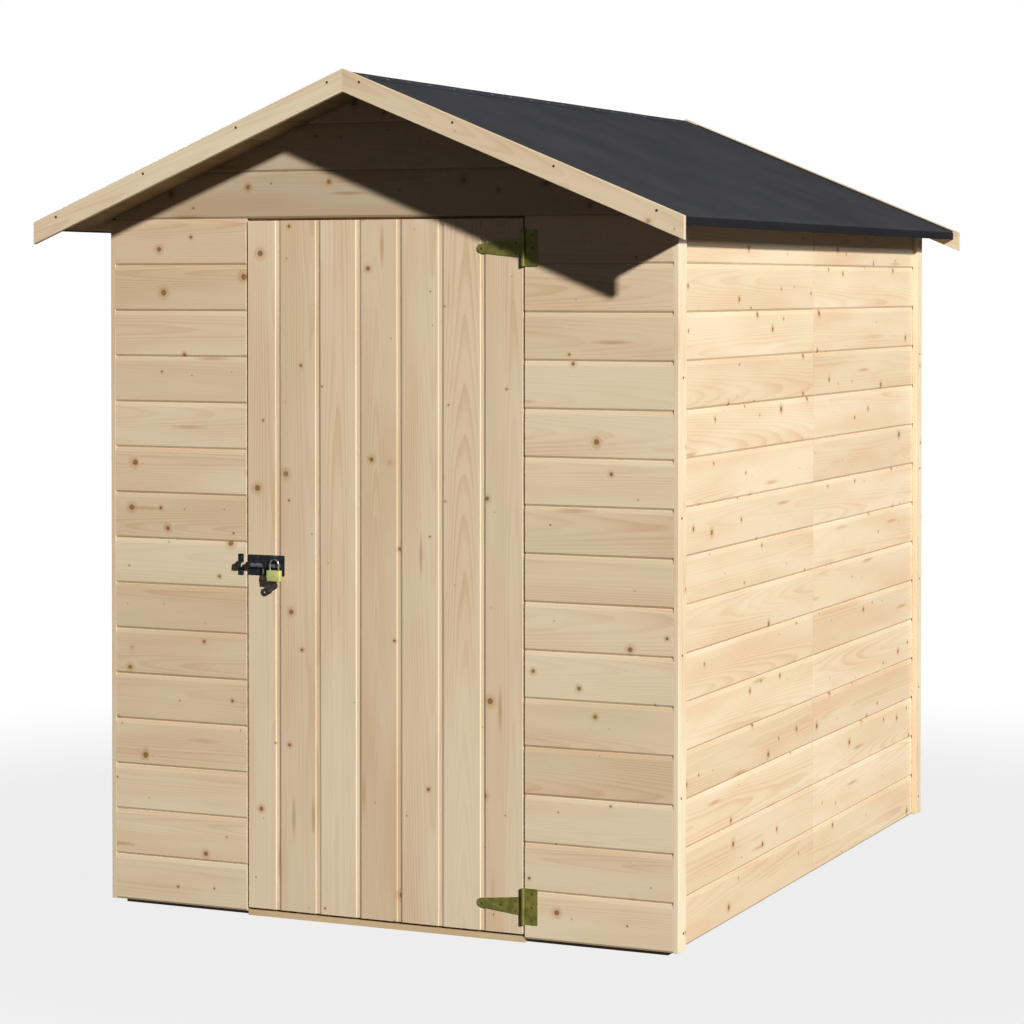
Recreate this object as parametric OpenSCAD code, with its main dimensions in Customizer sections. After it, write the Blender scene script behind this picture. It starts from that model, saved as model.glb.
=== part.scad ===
// Garden shed of grooved boards, with a felted ridge roof and one ledged door.
// Millimetres. X runs to the right, Y to the back, Z up.
// The origin is on the ground under the middle of the roof.

/* [Body] */
// Width across the outer faces of the side boards
body_w = 1500; // [1200:10:2000]
// Depth from the front face to the back face
body_d = 2000; // [1600:10:2800]
// Height that one wall board covers
board_cover = 114; // [95:1:130]
// Boards in the height of a wall
wall_boards = 15; // [13:1:18]
// Thickness of the wall boards
board_t = 14; // [12:0.5:20]
// Height of the lowest board above the ground
ground_gap = 10; // [4:1:30]
// Seam between two wall panels
panel_gap = 2; // [1:0.5:6]
// Distance of the side walls' seam behind the middle
seam_back = 32; // [0:1:80]

/* [Board grooves] */
// Depth of a groove in a wall
wall_groove = 7; // [2:0.5:8]
// Width of the flat floor of a groove in a wall
wall_flat = 4.5; // [3:0.5:12]
// Width of the chamfer beside a groove in a wall
wall_chamfer = 10; // [2:0.5:14]
// Depth of a groove in the door
door_groove = 5; // [2:0.5:8]
// Width of the flat floor of a groove in the door
door_flat = 15; // [3:0.5:20]
// Width of the chamfer beside a groove in the door
door_chamfer = 0.5; // [0.5:0.5:12]

/* [Framing] */
// Width of the wall studs and rails
stud_w = 45; // [35:1:60]
// Depth of the wall studs and rails
stud_d = 28; // [20:1:45]
// Depth of the rafters, square to the slope
rafter_w = 45; // [35:1:70]
// Number of bearers under the floor
bearer_count = 4; // [3:1:6]
// Width of a bearer
bearer_w = 45; // [35:1:70]
// Height of a bearer
bearer_h = 45; // [35:1:70]
// Thickness of the floor
floor_t = 16; // [12:1:28]
// Gap between the floor and the wall boards
floor_gap = 5; // [2:1:10]
// Distance of the sill under the door behind the front face
sill_back = 4; // [1:0.5:12]
// Gap between the sill and the door
sill_gap = 6; // [5:0.5:9]

/* [Corner trims] */
// Width of a corner trim
trim_w = 52; // [40:1:80]
// Thickness of a corner trim
trim_t = 13; // [10:0.5:20]
// Gap between a corner trim and the roof
trim_gap = 0.3; // [0.2:0.1:5]

/* [Roof] */
// Pitch of the roof in degrees
pitch = 22.4; // [16:0.1:32]
// Height of the roof boards above the outer edge of the side walls
roof_lift = 4.5; // [1:0.5:12]
// Thickness of the roof boards
deck_t = 16; // [12:1:22]
// Thickness of the roofing felt
felt_t = 3; // [2:0.5:5]
// Height of the felt flap over the eaves
felt_flap = 18; // [12:1:40]
// Height of the felt where it is turned up against the bargeboards
felt_upturn = 6.5; // [2:0.5:7]
// Width of the felt strip on each side of the ridge
ridge_strip_w = 32; // [20:1:200]
// Gap between the layers of the roof, which keeps their sloped faces apart
roof_seat = 0.05; // [0.03:0.01:0.5]
// Overhang of the roof at the front
front_over = 210; // [120:5:300]
// Overhang of the roof at the back
rear_over = 80; // [40:5:200]
// Overhang of the roof boards at the eaves
eaves_over = 85; // [50:1:150]

/* [Bargeboards] */
// Width of a bargeboard, square to the slope
barge_w = 50; // [40:1:80]
// Thickness of a bargeboard
barge_t = 14; // [10:1:20]
// Height of a bargeboard above the roof boards
barge_rise = 12; // [9:1:20]
// Length of a bargeboard past the roof boards
barge_over = 19; // [6:1:40]

/* [Door] */
// Width of the doorway
door_w = 750; // [650:5:850]
// Gap beside the door
door_gap = 5; // [3:0.5:10]
// Gap over the door
door_head_gap = 6; // [5:0.5:12]
// Height of the door's lower edge above the ground
door_bottom = 20; // [12:1:40]
// Width that one door board covers
door_cover = 109; // [90:1:125]
// Width of the door board at the free edge
door_first = 92; // [60:1:109]
// Height of a ledge on the back of the door
ledge_h = 90; // [60:1:110]
// Thickness of a ledge
ledge_t = 18; // [12:1:28]
// Height of the lowest ledge above the floor
ledge_lift = 8; // [6:1:40]
// Distance of a ledge's ends from the door's edges
ledge_inset = 25; // [22:1:60]
// Width of the door stop
stop_w = 15; // [8:1:16]
// Thickness of the door stop
stop_t = 20; // [10:1:24]

/* [Hinges] */
// Height of a hinge along its pin
hinge_h = 86; // [75:1:110]
// Height of the lower hinge above the door's lower edge
hinge_low = 67; // [60:1:120]
// Depth of the upper hinge below the door's upper edge
hinge_high = 71; // [60:1:120]
// Width of the plate on the wall, from the pin
hinge_plate_w = 36; // [25:1:60]
// Thickness of the hinge metal
hinge_t = 2; // [1.5:0.1:3]
// Length of the strap from the pin
strap_l = 121; // [90:1:200]
// Height of the strap at its root
strap_root = 45; // [30:1:50]
// Height of the strap at its tip
strap_tip = 22; // [14:1:28]
// Diameter of the knuckles
knuckle_d = 10; // [9:0.5:14]
// Diameter of the pin
pin_d = 5; // [3:0.5:5.5]
// Play of the pin in the strap, on the radius
pin_play = 0.1; // [0.05:0.01:0.2]
// Gap between the knuckles
knuckle_gap = 0.4; // [0.3:0.1:1]

/* [Bolt] */
// Height of the bolt above the ground
bolt_z = 868; // [700:1:1100]
// Diameter of the bolt
bolt_d = 10; // [8:0.5:11]
// Length of the bolt
bolt_l = 90; // [85:1:97]
// Distance from the bolt's middle to the face of the door
bolt_off = 8.5; // [8:0.1:10]
// Length of the plate on the door
bolt_plate_l = 100; // [98:1:120]
// Height of the plate on the door
bolt_plate_h = 50; // [44:1:60]
// Thickness of the plates
bolt_plate_t = 2; // [1.5:0.1:2.5]
// Distance of the plate from the door's edge
bolt_inset = 2; // [0.5:0.5:3]
// Width of a guide on the plate
guide_w = 10; // [6:1:11]
// Clear length between the guides
guide_span = 38; // [37:1:44]
// Play of the bolt in a guide
guide_play = 0.4; // [0.3:0.1:0.6]
// Thickness of the guides and of the keep
guide_t = 2; // [1.5:0.1:3]
// Width of the keep on the wall
keep_w = 14; // [10:1:20]
// Height of the keep
keep_h = 52; // [40:1:64]
// Distance of the keep from the doorway
keep_inset = 7; // [5:0.5:8]
// Play of the bolt in the keep
keep_play = 1; // [0.6:0.1:1.4]
// Diameter of the bolt's handle
handle_d = 5; // [4:0.5:6]
// Length of the handle below the bolt's middle
handle_l = 31; // [24:1:34]
// Gap between the handle and the inner guide when the bolt is drawn
handle_gap = 1; // [0.5:0.1:2]

/* [Padlock] */
// Width of the padlock
lock_w = 35; // [34:1:44]
// Height of the padlock's body
lock_h = 26; // [24:1:36]
// Thickness of the padlock
lock_t = 14; // [10:1:16]
// Distance from the padlock's middle to the face of the door
lock_off = 21; // [21:0.5:26]
// Depth of the padlock's body below the bolt's middle
lock_drop = 10; // [10:1:16]
// Diameter of the shackle's rod
shackle_d = 4; // [3.5:0.5:7]
// Height of the shackle's straight legs above the body
shackle_leg = 15; // [13:0.5:20]
// Half the width of the shackle
shackle_r = 11.5; // [10:0.5:13]
// Distance from the guide to the padlock's lug
lug_gap = 24; // [12:1:28]
// Thickness of the lug
lug_t = 3; // [2:0.5:5]
// Width of metal round the lug's hole
lug_rim = 2.5; // [2:0.5:4]
// Play of the shackle in the lug
lug_play = 1.5; // [1.2:0.1:2]
// Width of the key's bow
key_w = 20; // [16:1:26]
// Length of the key's bow
key_l = 32; // [28:1:40]
// Tilt of the key's bow in degrees
key_tilt = 28; // [0:1:40]
// Depth of the bow's middle below the padlock
key_drop = 14; // [12:1:24]
// Distance of the bow's middle to the side of the padlock's middle
key_aside = 6; // [0:1:8]
// Thickness of the key
key_t = 2; // [1.5:0.1:3]

/* [Hidden] */
$fn = 48;

wood = "burlywood";
sawn_wood = "tan";
felt_grey = "dimgray";
zinc_yellow = "darkkhaki";
bolt_black = [0.14, 0.15, 0.17];
lock_brass = [0.70, 0.68, 0.30];

// Outer planes of the body
half_w = body_w / 2;
y_front = (front_over - body_d - rear_over) / 2;
y_back = y_front + body_d;
y_mid = (y_front + y_back) / 2;
y_seam = y_mid + seam_back;
wall_base = ground_gap;
wall_h = wall_boards * board_cover;
wall_top = wall_base + wall_h;

// Inner planes of the boards and of the framing
in_x = half_w - board_t;
in_front = y_front + board_t;
in_back = y_back - board_t;
stud_x = in_x - stud_d;
stud_front = in_front + stud_d;
stud_back = in_back - stud_d;
floor_top = bearer_h + floor_t;
rail_low = floor_top + stud_w;
rail_high = wall_top - stud_w;

// Roof: its underside passes just over the upper outer edges of the side walls
slope = tan(pitch);
plumb = 1 / cos(pitch);
deck_edge = half_w + eaves_over;
roof_front = y_front - front_over + barge_t;
roof_back = y_back + rear_over - barge_t;
function under_roof(x) = wall_top + roof_lift + (half_w - x) * slope;
function deck_low(x) = under_roof(x) + roof_seat;
function deck_top(x) = deck_low(x) + deck_t * plumb;
function felt_top(x) = deck_top(x) + felt_t * plumb;
function barge_top(x) = deck_top(x) + barge_rise;
gable_h = under_roof(0) - wall_top;
rafter_foot = half_w - (rafter_w * plumb - roof_lift) / slope;
tie_foot = rafter_foot - roof_seat / slope;
tie_end = tie_foot - stud_w / slope;
trim_top = under_roof(half_w + trim_t) - trim_gap;

// Door
door_half = door_w / 2;
leaf_half = door_half - door_gap;
leaf_top = wall_top - door_head_gap;
stop_front = in_front + door_gap;
hinge_zs = [door_bottom + hinge_low, leaf_top - hinge_high];
ledge_low = floor_top + ledge_lift + ledge_h / 2;
ledge_zs = [ledge_low, (ledge_low + hinge_zs[1]) / 2, hinge_zs[1]];
pin_x = door_half - door_gap / 2;
pin_y = y_front - knuckle_d / 2;

// Bolt and padlock, drawn back so that the door can swing
plate_x = -leaf_half + bolt_inset;
guide_xs = [plate_x, plate_x + guide_w + guide_span];
bolt_y = y_front - bolt_off;
bolt_r = bolt_d / 2;
handle_x = guide_xs[1] - handle_gap - handle_d / 2;
lug_x = guide_xs[1] + guide_w + lug_gap;
lock_y = y_front - lock_off;
lock_top = bolt_z - lock_drop;
shackle_bend_z = lock_top + shackle_leg;
shackle_rest = 1.1;
lug_hole_z = shackle_bend_z + shackle_r + shackle_rest;
lug_hole_r = shackle_d / 2 + lug_play;
lug_r = lug_hole_r + lug_rim;

// A flat shape, drawn in Y and Z, carried along X
module along_x(from, to) {
    translate([from, 0, 0]) rotate([90, 0, 90]) linear_extrude(to - from) children();
}

// A flat shape, drawn in X and Z, carried along Y
module along_y(from, to) {
    translate([0, to, 0]) rotate([90, 0, 0]) linear_extrude(to - from) children();
}

// A flat shape, drawn in X and Y, carried along Z
module along_z(from, to) {
    translate([0, 0, from]) linear_extrude(to - from) children();
}

// A squared piece of timber between two corners
module timber(low, high) {
    translate(low) cube(high - low);
}

module mirrored_x() {
    mirror([1, 0, 0]) children();
}

module both_sides() {
    children();
    mirrored_x() children();
}

// One groove: a chamfer down from the face, then a flat floor as far as the next board
function groove(at, flat, chamfer, depth) = [
    [0, at - flat - chamfer],
    [depth, at - flat],
    [depth, at]
];

// Section of boards side by side: depth from the face, then place along the row
function board_row(joints, last_edge, length, flat, chamfer, depth) = concat(
    [[0, 0]],
    [for (at = joints) each concat(groove(at, flat, chamfer, depth), [[0, at]])],
    last_edge,
    [[board_t, length], [board_t, 0]]
);

// Section of lying boards, whose top board ends in the groove under the next course
module wall_section(boards) {
    joints = [for (i = [1 : 1 : boards - 1]) i * board_cover];
    length = boards * board_cover;
    last_edge = groove(length, wall_flat, wall_chamfer, wall_groove);
    polygon(board_row(joints, last_edge, length, wall_flat, wall_chamfer, wall_groove));
}

module front_sheet(from, to) {
    color(wood) along_x(from, to)
        translate([y_front, wall_base]) wall_section(wall_boards);
}

module back_sheet(from, to) {
    color(wood) along_x(from, to)
        translate([y_back, wall_base]) mirror([1, 0]) wall_section(wall_boards);
}

module left_sheet(from, to) {
    color(wood) along_y(from, to)
        translate([-half_w, wall_base]) wall_section(wall_boards);
}

// Wall boards, in panels

module front_wall_left() { front_sheet(-half_w, -door_half); }
module front_wall_right() { front_sheet(door_half, half_w); }
module left_wall_front() { left_sheet(in_front, y_seam - panel_gap / 2); }
module left_wall_rear() { left_sheet(y_seam + panel_gap / 2, in_back); }
module right_wall_front() { mirrored_x() left_wall_front(); }
module right_wall_rear() { mirrored_x() left_wall_rear(); }
module back_wall_left() { back_sheet(-half_w, -panel_gap / 2); }
module back_wall_right() { back_sheet(panel_gap / 2, half_w); }

// Lying boards over the wall, cut to the slope of the roof
module gable_boards() {
    courses = ceil(gable_h / board_cover);
    intersection() {
        along_x(-half_w, half_w) translate([0, wall_top]) wall_section(courses);
        along_y(0, board_t) polygon([
            [-half_w, wall_top], [half_w, wall_top], [half_w, under_roof(half_w)],
            [0, under_roof(0)], [-half_w, under_roof(half_w)]
        ]);
    }
}

module front_gable() {
    color(wood) translate([0, y_front, 0]) gable_boards();
}

module back_gable() {
    color(wood) translate([0, y_back, 0]) mirror([0, 1, 0]) gable_boards();
}

// Corner trims, planted on the side boards

module corner_trims(from) {
    color(wood) both_sides()
        timber([half_w, from, wall_base], [half_w + trim_t, from + trim_w, trim_top]);
}

module front_corner_trims() { corner_trims(y_front); }
module rear_corner_trims() { corner_trims(y_back - trim_w); }

// Floor on its bearers, the first of which carries the sill of the doorway

module floor_bearers() {
    first = in_front + floor_gap;
    sill_x = door_half - panel_gap;
    pitch_y = (in_back - floor_gap - bearer_w - first) / (bearer_count - 1);
    color(sawn_wood) for (i = [0 : bearer_count - 1])
        timber([-in_x + floor_gap, first + i * pitch_y, 0],
               [in_x - floor_gap, first + i * pitch_y + bearer_w, bearer_h]);
    color(sawn_wood)
        timber([-sill_x, y_front + sill_back, 0], [sill_x, first, door_bottom - sill_gap]);
}

module floor() {
    color(sawn_wood)
        timber([-in_x + floor_gap, in_front + floor_gap, bearer_h],
               [in_x - floor_gap, in_back - floor_gap, floor_top]);
}

// Wall framing

module front_wall_studs() {
    color(sawn_wood) both_sides()
        for (x = [door_half, stud_x - panel_gap - stud_w])
            timber([x, in_front, rail_low], [x + stud_w, stud_front, rail_high]);
}

module back_wall_studs() {
    color(sawn_wood) both_sides()
        for (x = [panel_gap / 2, stud_x - panel_gap - stud_w])
            timber([x, stud_back, rail_low], [x + stud_w, in_back, rail_high]);
}

module right_wall_studs() {
    ys = [in_front, y_seam - panel_gap / 2 - stud_w, y_seam + panel_gap / 2, in_back - stud_w];
    color(sawn_wood) for (y = ys)
        timber([stud_x, y, rail_low], [in_x, y + stud_w, rail_high]);
}

module left_wall_studs() { mirrored_x() right_wall_studs(); }

// One ring of rails round the four walls, open at the doorway
module rails(low) {
    high = low + stud_w;
    end_x = stud_x - panel_gap;
    color(sawn_wood) both_sides() {
        timber([door_half, in_front, low], [end_x, stud_front, high]);
        timber([panel_gap / 2, stud_back, low], [end_x, in_back, high]);
        timber([stud_x, in_front, low], [in_x, y_seam - panel_gap / 2, high]);
        timber([stud_x, y_seam + panel_gap / 2, low], [in_x, in_back, high]);
    }
}

module bottom_rails() { rails(floor_top); }
module top_rails() { rails(rail_high); }

// Roof framing

module gable_ties() {
    color(sawn_wood) for (y = [in_front, stud_back])
        along_y(y, y + stud_d) polygon([
            [-tie_foot, wall_top], [tie_foot, wall_top],
            [tie_end, wall_top + stud_w], [-tie_end, wall_top + stud_w]
        ]);
}

module rafters_right() {
    color(sawn_wood) for (y = [in_front, y_mid - stud_d / 2, stud_back])
        along_y(y, y + stud_d) polygon([
            [0, under_roof(0)], [in_x, under_roof(in_x)], [in_x, wall_top],
            [rafter_foot, wall_top], [0, under_roof(0) - rafter_w * plumb]
        ]);
}

module rafters_left() { mirrored_x() rafters_right(); }

// Roof boards and felt

module roof_deck_right() {
    color(wood) along_y(roof_front, roof_back) polygon([
        [0, deck_low(0)], [deck_edge, deck_low(deck_edge)],
        [deck_edge, deck_top(deck_edge)], [0, deck_top(0)]
    ]);
}

module roof_deck_left() { mirrored_x() roof_deck_right(); }

// The sheet lies on the roof boards, turned down over their edge and up against the bargeboards
module roof_felt_right() {
    flap_x = deck_edge + felt_t;
    flap_z = deck_top(deck_edge) - felt_flap;
    upturn_x = ridge_strip_w + panel_gap;
    color(felt_grey) {
        along_y(roof_front, roof_back) polygon([
            [0, deck_top(0)], [deck_edge, deck_top(deck_edge)],
            [deck_edge, flap_z], [flap_x, flap_z],
            [flap_x, felt_top(flap_x)], [0, felt_top(0)]
        ]);
        for (y = [roof_front, roof_back - felt_t])
            along_y(y, y + felt_t) polygon([
                [upturn_x, deck_top(upturn_x)], [deck_edge, deck_top(deck_edge)],
                [deck_edge, felt_top(deck_edge) + felt_upturn],
                [upturn_x, felt_top(upturn_x) + felt_upturn]
            ]);
    }
}

module roof_felt_left() { mirrored_x() roof_felt_right(); }

module ridge_felt() {
    thick = felt_t * plumb;
    apex_z = felt_top(0) + roof_seat;
    edge_z = apex_z - ridge_strip_w * slope;
    color(felt_grey) along_y(roof_front, roof_back) polygon([
        [-ridge_strip_w, edge_z], [0, apex_z], [ridge_strip_w, edge_z],
        [ridge_strip_w, edge_z + thick], [0, apex_z + thick], [-ridge_strip_w, edge_z + thick]
    ]);
}

// Bargeboards on the ends of the roof boards, with plumb cuts at apex and tail

module bargeboard(from) {
    tail = deck_edge + barge_over;
    drop = barge_w * plumb;
    color(wood) along_y(from, from + barge_t) polygon([
        [0, barge_top(0)], [tail, barge_top(tail)],
        [tail, barge_top(tail) - drop], [0, barge_top(0) - drop]
    ]);
}

module front_bargeboard_right() { bargeboard(roof_front - barge_t); }
module front_bargeboard_left() { mirrored_x() front_bargeboard_right(); }
module rear_bargeboard_right() { bargeboard(roof_back); }
module rear_bargeboard_left() { mirrored_x() rear_bargeboard_right(); }

// Door: standing boards on ledges, closing against stops

module door_leaf() {
    width = 2 * leaf_half;
    room = width - door_first - door_flat - door_chamfer;
    joints = [for (i = [0 : floor(room / door_cover)]) door_first + i * door_cover];
    color(wood) along_z(door_bottom, leaf_top)
        translate([-leaf_half, y_front]) mirror([1, -1])
            polygon(board_row(joints, [[0, width]], width, door_flat, door_chamfer, door_groove));
}

module door_ledges() {
    end_x = leaf_half - ledge_inset;
    color(sawn_wood) for (z = ledge_zs)
        timber([-end_x, in_front, z - ledge_h / 2], [end_x, in_front + ledge_t, z + ledge_h / 2]);
}

// Two side stops under a head stop
module door_stops() {
    side_x = door_half - stop_w;
    side_top = wall_top - stop_w - panel_gap;
    color(sawn_wood) {
        both_sides() timber([side_x, stop_front, floor_top], [door_half, stop_front + stop_t, side_top]);
        timber([-door_half, stop_front, wall_top - stop_w], [door_half, stop_front + stop_t, wall_top]);
    }
}

// T hinges: a plate with two knuckles and the pin on the wall, a strap on the door

module hinge_plate(z) {
    plate_end = pin_x + hinge_plate_w;
    mid_h = strap_root / 2 + knuckle_gap;
    end_h = hinge_h / 2 - mid_h;
    clear_x = knuckle_d / 2 + knuckle_gap;
    color(zinc_yellow) translate([0, 0, z]) {
        difference() {
            timber([pin_x, y_front - hinge_t, -hinge_h / 2], [plate_end, y_front, hinge_h / 2]);
            translate([pin_x, pin_y, -mid_h]) cylinder(r = clear_x, h = 2 * mid_h);
            timber([pin_x - clear_x, y_front - 2 * hinge_t, -mid_h], [pin_x + clear_x, y_front + hinge_t, mid_h]);
        }
        for (low = [-hinge_h / 2, mid_h])
            translate([pin_x, pin_y, low]) cylinder(d = knuckle_d, h = end_h);
        translate([pin_x, pin_y, -hinge_h / 2]) cylinder(d = pin_d, h = hinge_h);
    }
}

module upper_hinge_plate() { hinge_plate(hinge_zs[1]); }
module lower_hinge_plate() { hinge_plate(hinge_zs[0]); }

// The strap tapers to a round tip and curls round the pin at its root
module hinge_strap(z) {
    tip_x = pin_x - strap_l + strap_tip / 2;
    color(zinc_yellow) translate([0, 0, z]) difference() {
        union() {
            along_y(y_front - hinge_t, y_front) {
                polygon([
                    [pin_x, -strap_root / 2], [pin_x, strap_root / 2],
                    [tip_x, strap_tip / 2], [tip_x, -strap_tip / 2]
                ]);
                translate([tip_x, 0]) circle(d = strap_tip);
            }
            translate([pin_x, pin_y, -strap_root / 2]) cylinder(d = knuckle_d, h = strap_root);
        }
        translate([pin_x, pin_y, -strap_root])
            cylinder(r = pin_d / 2 + pin_play, h = 2 * strap_root);
    }
}

module upper_hinge_strap() { hinge_strap(hinge_zs[1]); }
module lower_hinge_strap() { hinge_strap(hinge_zs[0]); }

// Bolt: a rod in two guides on the door, and a keep of bent strap on the wall

// Section of a strap bent over the rod, standing on a face at Y zero
module bent_strap(play) {
    half_in = bolt_r + play;
    half_out = half_in + guide_t;
    top_in = -bolt_off - half_in;
    top_out = top_in - guide_t;
    corner = guide_t;
    difference() {
        polygon([
            [0, -half_out], [top_out + corner, -half_out], [top_out, -half_out + corner],
            [top_out, half_out - corner], [top_out + corner, half_out], [0, half_out]
        ]);
        translate([top_in, -half_in]) square([-top_in, 2 * half_in]);
    }
}

module bolt_keep() {
    foot = bolt_r + keep_play;
    to = -door_half - keep_inset;
    color(bolt_black) along_x(to - keep_w, to) translate([y_front, bolt_z]) {
        bent_strap(keep_play);
        for (z = [-keep_h / 2, foot])
            translate([-bolt_plate_t, z]) square([bolt_plate_t, keep_h / 2 - foot]);
    }
}

// A plate with two guides and the lug that the padlock hangs in
module bolt_plate() {
    color(bolt_black) {
        timber([plate_x, y_front - bolt_plate_t, bolt_z - bolt_plate_h / 2],
               [plate_x + bolt_plate_l, y_front, bolt_z + bolt_plate_h / 2]);
        for (x = guide_xs)
            along_x(x, x + guide_w) translate([y_front, bolt_z]) bent_strap(guide_play);
        along_x(lug_x - lug_t / 2, lug_x + lug_t / 2) difference() {
            union() {
                translate([lock_y, lug_hole_z]) circle(lug_r);
                translate([lock_y, lug_hole_z - lug_r]) square([lock_off, 2 * lug_r]);
            }
            translate([lock_y, lug_hole_z]) circle(lug_hole_r);
        }
    }
}

// A rod with a rounded nose and a handle that ends in a ball
module bolt_rod() {
    nose = bolt_d / 5;
    color(bolt_black) {
        translate([plate_x + nose, bolt_y, bolt_z]) rotate([0, 90, 0])
            cylinder(d = bolt_d, h = bolt_l - nose);
        translate([plate_x, bolt_y, bolt_z]) rotate([0, 90, 0])
            cylinder(d1 = bolt_d - nose, d2 = bolt_d, h = nose);
        translate([handle_x, bolt_y, bolt_z - handle_l]) cylinder(d = handle_d, h = handle_l);
        translate([handle_x, bolt_y, bolt_z - handle_l]) sphere(d = handle_d * 1.6);
    }
}

// Padlock, hanging in its lug

// A rectangle about the origin with round corners
module round_rect(w, h, r) {
    square([w - 2 * r, h], center = true);
    square([w, h - 2 * r], center = true);
    for (x = [r - w / 2, w / 2 - r], y = [r - h / 2, h / 2 - r])
        translate([x, y]) circle(r);
}

module padlock_body() {
    corner = lock_t / 5;
    color(lock_brass) along_z(lock_top - lock_h, lock_top)
        translate([lug_x, lock_y]) round_rect(lock_w, lock_t, corner);
}

module padlock_shackle() {
    color("silver") translate([lug_x, lock_y, 0]) {
        for (x = [-shackle_r, shackle_r])
            translate([x, 0, lock_top]) cylinder(d = shackle_d, h = shackle_bend_z - lock_top);
        translate([0, 0, shackle_bend_z]) rotate([90, 0, 0])
            rotate_extrude(angle = 180) translate([shackle_r, 0]) circle(d = shackle_d);
    }
}

// A flat key in the bottom of the padlock, with a long pierced bow that hangs askew
module padlock_key() {
    shank_w = key_w / 3;
    eye_d = key_w * 0.3;
    half_run = (key_l - key_w) / 2;
    color([0.25, 0.23, 0.25]) along_y(lock_y - key_t / 2, lock_y + key_t / 2)
        translate([lug_x, lock_top - lock_h - key_drop]) difference() {
            union() {
                translate([-shank_w / 2, 0]) square([shank_w, key_drop]);
                translate([-key_aside, 0]) rotate(key_tilt) {
                    square([2 * half_run, key_w], center = true);
                    for (x = [-half_run, half_run]) translate([x, 0]) circle(d = key_w);
                }
            }
            translate([-key_aside, 0]) rotate(key_tilt) translate([-half_run, 0]) circle(d = eye_d);
        }
}

floor_bearers();
floor();
front_wall_left();
front_wall_right();
front_gable();
left_wall_front();
left_wall_rear();
right_wall_front();
right_wall_rear();
back_wall_left();
back_wall_right();
back_gable();
front_corner_trims();
rear_corner_trims();
front_wall_studs();
left_wall_studs();
right_wall_studs();
back_wall_studs();
bottom_rails();
top_rails();
gable_ties();
rafters_left();
rafters_right();
roof_deck_left();
roof_deck_right();
roof_felt_left();
roof_felt_right();
ridge_felt();
front_bargeboard_left();
front_bargeboard_right();
rear_bargeboard_left();
rear_bargeboard_right();
door_stops();
upper_hinge_plate();
lower_hinge_plate();
bolt_keep();
door_leaf();
door_ledges();
upper_hinge_strap();
lower_hinge_strap();
bolt_plate();
padlock_body();
padlock_shackle();
padlock_key();
bolt_rod();
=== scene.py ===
# %% [markdown]
# A small garden shed of grooved softwood boards, with a felted ridge roof and one ledged door.
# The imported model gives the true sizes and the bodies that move. This script dresses it: every board is
# modelled on its own, so that each has its own grain, edge and tone, as boards from a timber yard have.

# %% Load the frame
import math
import random

import bpy
import numpy as np
from mathutils import Matrix, Vector


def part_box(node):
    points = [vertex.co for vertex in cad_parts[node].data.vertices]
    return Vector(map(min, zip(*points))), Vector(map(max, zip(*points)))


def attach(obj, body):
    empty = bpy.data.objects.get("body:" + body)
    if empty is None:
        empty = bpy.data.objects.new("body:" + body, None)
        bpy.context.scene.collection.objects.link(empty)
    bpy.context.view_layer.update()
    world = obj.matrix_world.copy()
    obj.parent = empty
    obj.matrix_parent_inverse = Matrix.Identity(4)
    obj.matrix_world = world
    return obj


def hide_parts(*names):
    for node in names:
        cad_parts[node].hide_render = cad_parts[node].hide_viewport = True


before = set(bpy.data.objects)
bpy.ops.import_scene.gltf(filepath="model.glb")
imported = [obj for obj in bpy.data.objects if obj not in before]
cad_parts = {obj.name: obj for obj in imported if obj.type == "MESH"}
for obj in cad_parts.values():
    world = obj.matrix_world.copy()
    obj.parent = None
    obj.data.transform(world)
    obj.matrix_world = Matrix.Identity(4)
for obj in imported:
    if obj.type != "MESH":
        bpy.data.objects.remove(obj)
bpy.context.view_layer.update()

MM = 0.001
chance = random.Random(11)

# %% [markdown]
# The frame tells where each piece lies, so a size is read from it and not written a second time. A place
# is a matrix: a move, a turn, or a product of these, which acts from right to left. Many pieces have a twin
# on the other side of the ridge, and a hand of 1 or -1 tells the two apart.

# %% Places
QUARTER = math.radians(90)
HANDS = (-1, 1)
LEFT = (-1, 0, 0)
RIGHT = (1, 0, 0)
FRONT = (0, -1, 0)
BACK = (0, 1, 0)
UP = (0, 0, 1)


def corners(node):
    """The lower and the upper corner of a frame node's box."""
    low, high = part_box(node)
    return Vector(low), Vector(high)


def hand_of(high):
    """1 for a piece to the right of the ridge, -1 for one to the left."""
    return 1 if high.x > MM else -1


def moved(x, y, z):
    return Matrix.Translation((x, y, z))


def turned(angle, axis):
    return Matrix.Rotation(angle, 4, axis)


print("floor from", *corners("floor"))

# %% [markdown]
# The camera stands at eye height, in front and to the right. Its place and lens were solved from the board
# grooves, which run to two vanishing points. The view looks nearly level, and the lens shift brings the
# shed down into the frame, so that upright edges stay upright.

# %% Camera
EYE = (3.150, -7.212, 1.554)
VIEW_TURN = math.radians(24.12)
VIEW_DIP = math.radians(1.05)
LENS_MM = 102.4
SENSOR_MM = 36
LENS_SHIFT = (0.0010, -0.1686)

eye_lens = bpy.data.cameras.new("eye")
eye_lens.lens = LENS_MM
eye_lens.sensor_width = SENSOR_MM
eye_lens.shift_x, eye_lens.shift_y = LENS_SHIFT
eye = bpy.data.objects.new("eye", eye_lens)
eye.location = EYE
eye.rotation_euler = (QUARTER - VIEW_DIP, 0, VIEW_TURN)
bpy.context.collection.objects.link(eye)
bpy.context.scene.camera = eye
bpy.context.scene.view_settings.view_transform = "Standard"
print("camera at", EYE)

# %% [markdown]
# A material is a small web of nodes. Wiring it by hand in code is long, so one class wraps an output
# socket: sums written on it add Math nodes, and its `node` method makes any other kind of node.

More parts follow.
